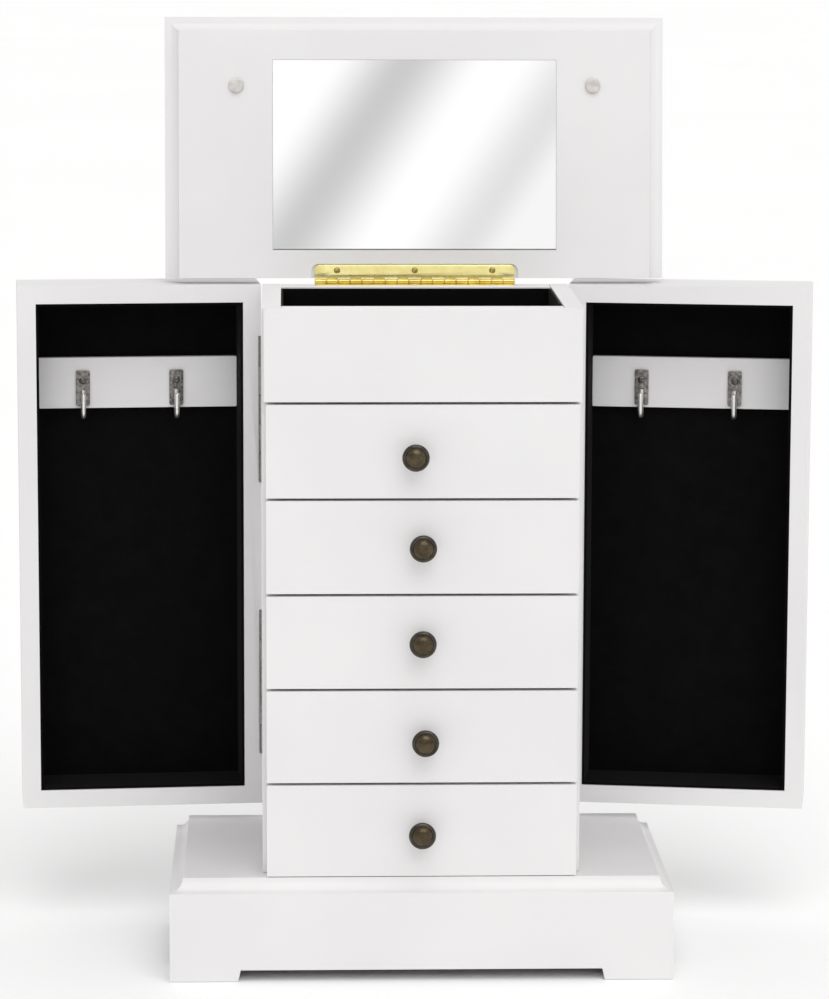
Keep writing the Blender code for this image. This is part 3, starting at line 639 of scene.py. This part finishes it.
def screw_mesh(radius, dome, mat):
    """A head with a cross recess, its flat side at the origin and its crown towards +Z."""
    profile = [(0, dome), (radius * 0.5, dome * 0.93), (radius * 0.82, dome * 0.66)]
    profile += [(radius, dome * 0.22), (radius, 0.0), (radius * 0.6, -dome * 0.4), (0, -dome * 0.4)]
    head = turned(profile, ROUND_STEPS, Matrix.Identity(4))
    long, short = radius * 0.62, radius * 0.17
    bars = []
    for half_x, half_y in ((long, short), (short, long)):
        outline = [(-half_x, -half_y), (half_x, -half_y), (half_x, half_y), (-half_x, half_y)]
        bars.append(prism(outline, dome * 0.25, dome * 2, along_z))
    cut = carve(head, *bars)
    mesh = bpy.data.meshes.new("screw_head")
    cut.to_mesh(mesh)
    cut.free()
    mesh.materials.append(mat)
    mesh.shade_smooth()
    mesh.set_sharp_from_angle(angle=SMOOTH_ANGLE)
    return mesh


def set_screw(name, mesh, point, normal, spin, body):
    """Places a screw head in the closed chest; its object keeps the swing in its matrix."""
    turn = Vector(normal).to_track_quat("Z", "Y").to_matrix().to_4x4()
    obj = bpy.data.objects.new(name, mesh)
    bpy.context.scene.collection.objects.link(obj)
    local = Matrix.Translation(point) @ turn @ Matrix.Rotation(math.radians(spin), 4, "Z")
    obj.matrix_world = SWING[body] @ local
    bpy.context.view_layer.update()
    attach(obj, body)


def countersink(point, radius, normal_z):
    """The shallow cone that a leaf's screw sits in; normal_z is 1 on an upper face, else -1."""
    profile = [(0, COUNTERSINK_RIM), (radius * 1.45, COUNTERSINK_RIM)]
    profile += [(radius * 1.15, -COUNTERSINK_SHOULDER)]
    profile += [(radius * 0.9, -COUNTERSINK_DEPTH), (0, -COUNTERSINK_DEPTH)]
    flip = Matrix.Identity(4) if normal_z > 0 else Matrix.Rotation(math.pi, 4, "X")
    return turned(profile, ROUND_STEPS, Matrix.Translation(point) @ flip)


# ---------------------------------------------------------------- hinges

def knuckle_spans(start, length, first):
    """Where every second knuckle of the lid hinge's barrel starts and ends."""
    pitch = length / LID_KNUCKLES
    for index in range(first, LID_KNUCKLES, 2):
        low = start + index * pitch + KNUCKLE_GAP / 2
        yield low, low + pitch - KNUCKLE_GAP


def knuckle_tube(axis, low, high):
    """One knuckle, with slightly rounded ends."""
    radius, size = BARREL_RADIUS, high - low
    end_radius, end_depth = radius * 0.86, radius * 0.16
    profile = [(0, 0.0), (end_radius, 0.0), (radius, end_depth)]
    profile += [(radius, size - end_depth), (end_radius, size), (0, size)]
    return turned(profile, ROUND_STEPS, along_hinge(axis, low))


def knuckle_strap(axis, low, high, near_y, bottom, top):
    """The strip that runs from a leaf's plate into one knuckle."""
    outline = rounded_outline((near_y - STRAP_LAP, bottom), (axis.y, top), (0, 0, 0, 0))
    return prism(outline, low, high, along_x)


def hinge_pin(axis, start, length):
    """A pin with domed ends through the whole barrel."""
    radius = PIN_RADIUS
    profile = [(0, 0.0), (radius * 0.7, PIN_DOME_EDGE), (radius, PIN_DOME)]
    profile += [(radius, length - PIN_DOME), (radius * 0.7, length - PIN_DOME_EDGE), (0, length)]
    return turned(profile, ROUND_STEPS, along_hinge(axis, start))


def along_hinge(axis, start):
    """Lays what stands on the origin along the lid hinge's axis, from start to the right."""
    return Matrix.Translation((start, axis.y, axis.z)) @ Matrix.Rotation(math.pi / 2, 4, "Y")


def build_lid_hinge():
    """Two leaves that share one barrel; the body's leaf has the outer knuckles and the pin."""
    axis = Vector(JOINTS["lid_hinge"]["pos_m"])
    body_low, body_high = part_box("lid_hinge_body_leaf")
    lid_low, lid_high = closed_box("lid_hinge_lid_leaf", "lid")
    back_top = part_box("back_panel")[1].z
    length = body_high.x - body_low.x
    near_y = axis.y - BARREL_RADIUS - FIT
    radius, dome, turn = LID_SCREW
    screw = screw_mesh(radius, dome, SCREW_BRASS)
    settings = (
        ("lid_hinge_upper_leaf", "lid_hinge_lid_leaf", "lid", lid_low.y, lid_high.z, -1, 1),
        ("lid_hinge_lower_leaf", "lid_hinge_body_leaf", "cabinet", body_low.y, back_top, 1, 0),
    )
    for name, node, body, far_y, top, facing, first in settings:
        bottom = top - LEAF_THICKNESS
        corners = (LEAF_CORNER, LEAF_CORNER, 0, 0)
        outline = rounded_outline((body_low.x, far_y), (body_high.x, near_y), corners)
        plate = soften(prism(outline, bottom, top, along_z), LEAF_EDGE)
        seen_z = top if facing > 0 else bottom
        screw_y = (far_y + near_y) / 2 - LID_SCREW_OFF_MIDDLE
        holes = []
        for number, shift in enumerate((-LID_SCREW_SPACING, 0.0, LID_SCREW_SPACING), 1):
            point = Vector((axis.x + shift, screw_y, seen_z))
            holes.append(countersink(point, radius, facing))
            sunk = point - Vector((0, 0, facing * LID_SCREW_SUNK))
            head = f"{name}_screw_{number}"
            set_screw(head, screw, sunk, (0, 0, facing), turn * number, body)
        barrel = bmesh.new()
        for low, high in knuckle_spans(body_low.x, length, first):
            merge(barrel, knuckle_tube(axis, low, high))
            merge(barrel, knuckle_strap(axis, low, high, near_y, bottom, top))
        if body == "cabinet":
            merge(barrel, hinge_pin(axis, body_low.x, length))
        # The knuckles, their straps and the pin take the darker brass copy, painted shade on the
        # barrel.
        for face in barrel.faces:
            face.material_index = 1
        leaf = merge(carve(plate, *holes), barrel)
        piece(name, leaf, body, (BRASS, BARREL_BRASS_SHADED), [node])


def build_door_hinges():
    """The leaves keep their CAD shape and get screw heads."""
    radius, dome, turn = DOOR_SCREW
    screw = screw_mesh(radius, dome, SCREW_STEEL)
    for side in ("left", "right"):
        axis_x = JOINTS[f"{side}_door_hinge"]["pos_m"][0]
        door = f"{side}_door"
        halves = (("body", "cabinet", "back_panel"), ("door", door, f"{door}_frame"))
        for level in ("lower", "upper"):
            for half, body, board in halves:
                node = f"{door}_{level}_hinge_{half}_leaf"
                # The leaves take the darkened nickel: painted shade in the slots between door and
                # cabinet.
                dress(node, HINGE_NICKEL_SHADED, DOOR_LEAF_EDGE)
                low, high = closed_box(node, body)
                rear = closed_box(board, body)[1].y
                far_x = low.x if abs(low.x - axis_x) > abs(high.x - axis_x) else high.x
                screw_x = far_x + (axis_x - far_x) * DOOR_SCREW_SHARE
                for number, share in enumerate(DOOR_SCREW_HEIGHTS, 1):
                    point = Vector((screw_x, rear, low.z + (high.z - low.z) * share))
                    name = f"{side}_{level}_hinge_{half}_screw_{number}"
                    set_screw(name, screw, point, (0, 1, 0), turn * number, body)


# ---------------------------------------------------------------- hooks

def hook_path(stem, bottom, way, top, tip):
    """The middle of a J's wire: down behind, round at the bottom and up in front."""
    points = [Vector((stem.x, stem.y, top))]
    for step in range(HOOK_BEND_STEPS + 1):
        angle = math.pi * step / HOOK_BEND_STEPS
        forward = HOOK_BEND_RADIUS * (1 - math.cos(angle))
        drop = HOOK_BEND_RADIUS * math.sin(angle)
        points.append(Vector((stem.x - way * forward, stem.y, bottom + HOOK_BEND_RADIUS - drop)))
    points.append(Vector((points[-1].x, stem.y, tip)))
    return points


def tube(points, radius):
    """A round tube along points that lie in one plane of constant Y, with a domed last end."""
    side = Vector((0, 1, 0))

    def ring(centre, along, size):
        up = along.cross(side)
        angles = [2 * math.pi * step / WIRE_STEPS for step in range(WIRE_STEPS)]
        return [centre + size * (math.cos(angle) * side + math.sin(angle) * up) for angle in angles]

    rings = []
    for index, point in enumerate(points):
        before = points[max(index - 1, 0)]
        after = points[min(index + 1, len(points) - 1)]
        rings.append(ring(point, (after - before).normalized(), radius))
    along = (points[-1] - points[-2]).normalized()
    for step in range(1, WIRE_TIP_STEPS):
        angle = math.pi / 2 * step / WIRE_TIP_STEPS
        centre = points[-1] + along * radius * math.sin(angle)
        rings.append(ring(centre, along, radius * math.cos(angle)))
    return loft(rings)


def build_hooks():
    """Each hook is a screwed plate and a wire; way is 1 where the shut door is on the right."""
    radius, dome, turn = HOOK_SCREW
    screw = screw_mesh(radius, dome, SCREW_STEEL)
    width, height, thick = HOOK_PLATE
    for side, way in (("left", -1), ("right", 1)):
        body = f"{side}_door"
        for number in (1, 2):
            node = f"{side}_door_hook_{number}"
            name = f"{side}_hook_{number}"
            low, high = closed_box(node, body)
            back = high.x if way > 0 else low.x
            front = back - way * thick
            middle = (low.y + high.y) / 2
            lowest, highest = (middle - width / 2, high.z - height), (middle + width / 2, high.z)
            outline = rounded_outline(lowest, highest, (HOOK_PLATE_CORNER,) * 4, 4)
            plate = prism(outline, min(back, front), max(back, front), along_x)
            soften(plate, HOOK_PLATE_EDGE)
            stem = Vector((back - way * HOOK_STEM_OFF, middle, 0))
            stem_top = high.z - height * HOOK_STEM_TOP
            tip = high.z - height + HOOK_TIP_RISE - HOOK_WIRE_RADIUS
            path = hook_path(stem, low.z + HOOK_WIRE_RADIUS, way, stem_top, tip)
            wire = tube(path, HOOK_WIRE_RADIUS)
            # The wire takes the lightened nickel, which paints highlights on it.
            for face in wire.faces:
                face.material_index = 1
            merge(plate, wire)
            # The plate takes the darkened nickel, painted shade and dark reflections; the wire the
            # lightened one, painted highlights.
            piece(name, plate, body, (PLATE_NICKEL_SHADED, WIRE_NICKEL_LIT), [node])
            point = Vector((front, middle, high.z - HOOK_SCREW_DROP))
            set_screw(f"{name}_screw", screw, point, (-way, 0, 0), turn * number, body)


# ---------------------------------------------------------------- drawers

def build_knob(body):
    low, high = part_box(f"{body}_knob")
    middle = Vector(((low.x + high.x) / 2, high.y, (low.z + high.z) / 2))
    place = Matrix.Translation(middle) @ Matrix.Rotation(math.pi / 2, 4, "X")
    knob = turned(KNOB_PROFILE, KNOB_STEPS, place)
    # Every face but the crown takes the darker bronze copy, which paints shade on the rim and the
    # stem.
    for face in knob.faces:
        centre = face.calc_center_median()
        off_axis = math.hypot(centre.x - middle.x, centre.z - middle.z)
        crown = off_axis < KNOB_CROWN_RADIUS and middle.y - centre.y > KNOB_CROWN_HEIGHT
        face.material_index = 0 if crown else 1
    piece(f"{body}_pull", knob, body, (BRONZE, BRONZE_RIM_SHADED), [f"{body}_knob"])


def build_lining(body):
    """Velvet on the floor and the four walls of a drawer's box."""
    low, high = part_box(f"{body}_box")
    wall = DRAWER_WALL + FIT
    outer_low = low + Vector((wall, wall, DRAWER_BOTTOM + FIT))
    outer_high = high - Vector((wall, wall, LINING_BELOW_RIM))
    outline = rounded_outline(outer_low.xy, outer_high.xy, (LINING_OUTER_CORNER,) * 4, 3)
    skin = prism(outline, outer_low.z, outer_high.z, along_z)
    sheet = Vector((LINING, LINING))
    corners = (LINING_INNER_CORNER,) * 4
    outline = rounded_outline(outer_low.xy + sheet, outer_high.xy - sheet, corners, 5)
    hollow = prism(outline, outer_low.z + LINING, outer_high.z + LINING, along_z)
    lining = soften(carve(skin, hollow), LINING_EDGE)
    piece(f"{body}_lining", lining, body, VELVET)


def build_drawers():
    for number in range(1, 6):
        build_knob(f"drawer_{number}")
        build_lining(f"drawer_{number}")


# ---------------------------------------------------------------- studio

def across(tree, vector, low=0.0, high=1.0):
    """A value that goes from low to high while the vector's X goes from -1 to 1."""
    split = tree.nodes.new("ShaderNodeSeparateXYZ")
    span = tree.nodes.new("ShaderNodeMapRange")
    span.inputs["From Min"].default_value = -1.0
    span.inputs["From Max"].default_value = 1.0
    span.inputs["To Min"].default_value = low
    span.inputs["To Max"].default_value = high
    tree.links.new(vector, split.inputs["Vector"])
    tree.links.new(split.outputs["X"], span.inputs["Value"])
    return span.outputs["Result"]


def build_floor():
    bm = bmesh.new()
    bmesh.ops.create_grid(bm, x_segments=4, y_segments=4, size=FLOOR_REACH)
    floor = as_object("studio_floor", bm)
    mat = material("studio_floor_paper", (0.90, 0.90, 0.90), 0.9)
    vary_colour(mat, noise(mat, 0.8, 2.0), (0.935, 0.935, 0.935), (0.945, 0.945, 0.945))
    floor.data.materials.append(mat)


def build_reflector():
    """A far panel with soft slanted bands of light, which is what the mirror and the metal see."""
    bm = bmesh.new()
    bmesh.ops.create_grid(bm, x_segments=1, y_segments=1, size=REFLECTOR_REACH)
    panel = as_object("studio_reflector", bm)
    panel.location = REFLECTOR_PLACE
    panel.rotation_euler = (math.radians(90), 0, 0)
    mat = bpy.data.materials.new("studio_reflector_bands")
    mat.use_nodes = True
    tree = mat.node_tree
    tree.nodes.clear()
    place = tree.nodes.new("ShaderNodeTexCoord")
    mapping = tree.nodes.new("ShaderNodeMapping")
    mapping.inputs["Rotation"].default_value = (0, 0, BAND_SLANT)
    ramp = tree.nodes.new("ShaderNodeValToRGB")
    ramp.color_ramp.interpolation = "EASE"
    stops = ramp.color_ramp.elements
    for position, _ in BANDS[1:-1]:
        stops.new(position)
    for stop, (_, value) in zip(stops, BANDS):
        stop.color = (value, value, value, 1.0)
    glow = tree.nodes.new("ShaderNodeEmission")
    out = tree.nodes.new("ShaderNodeOutputMaterial")
    tree.links.new(place.outputs["Object"], mapping.inputs["Vector"])
    tree.links.new(across(tree, mapping.outputs["Vector"]), ramp.inputs["Fac"])
    tree.links.new(ramp.outputs["Color"], glow.inputs["Color"])
    tree.links.new(glow.outputs["Emission"], out.inputs["Surface"])
    panel.data.materials.append(mat)
    panel.visible_camera = False
    panel.visible_shadow = False


def build_light():
    """A white room, a little darker on the left, and one broad lamp in front and above."""
    world = bpy.data.worlds.new("studio")
    bpy.context.scene.world = world
    world.use_nodes = True
    tree = world.node_tree
    place = tree.nodes.new("ShaderNodeTexCoord")
    room = tree.nodes["Background"]
    room.inputs["Color"].default_value = ROOM_COLOUR
    strength = across(tree, place.outputs["Generated"], *ROOM_LIGHT)
    tree.links.new(strength, room.inputs["Strength"])

    data = bpy.data.lights.new("key_softbox", "SUN")
    data.energy = KEY_POWER
    data.angle = KEY_SPREAD
    lamp = bpy.data.objects.new("key_softbox", data)
    bpy.context.scene.collection.objects.link(lamp)
    lamp.rotation_euler = Vector(KEY_FROM).to_track_quat("Z", "Y").to_euler()
    bpy.context.scene.view_settings.view_transform = "Standard"


def build_camera():
    """A long lens a little left of the chest's middle and above it, as the object is seen."""
    pitch, yaw, roll = CAMERA_PITCH, CAMERA_YAW, CAMERA_ROLL
    reach = math.cos(pitch)
    forward = Vector((math.sin(yaw) * reach, math.cos(yaw) * reach, -math.sin(pitch)))
    level = Vector((math.cos(yaw), -math.sin(yaw), 0.0))
    upright = level.cross(forward)
    right = math.cos(roll) * level + math.sin(roll) * upright
    up = -math.sin(roll) * level + math.cos(roll) * upright
    data = bpy.data.cameras.new("studio_camera")
    data.sensor_width = CAMERA_SENSOR
    data.lens = CAMERA_LENS
    data.clip_end = CAMERA_REACH
    camera = bpy.data.objects.new("studio_camera", data)
    bpy.context.scene.collection.objects.link(camera)
    turn = Matrix((right, up, -forward)).transposed().to_4x4()
    camera.matrix_world = Matrix.Translation(Vector(CAMERA_PLACE)) @ turn
    bpy.context.scene.camera = camera


build_camera()
dress_boards()
build_base()
build_lid()
build_bumpers()
build_lid_hinge()
build_door_hinges()
build_hooks()
build_drawers()
build_floor()
build_reflector()
build_light()
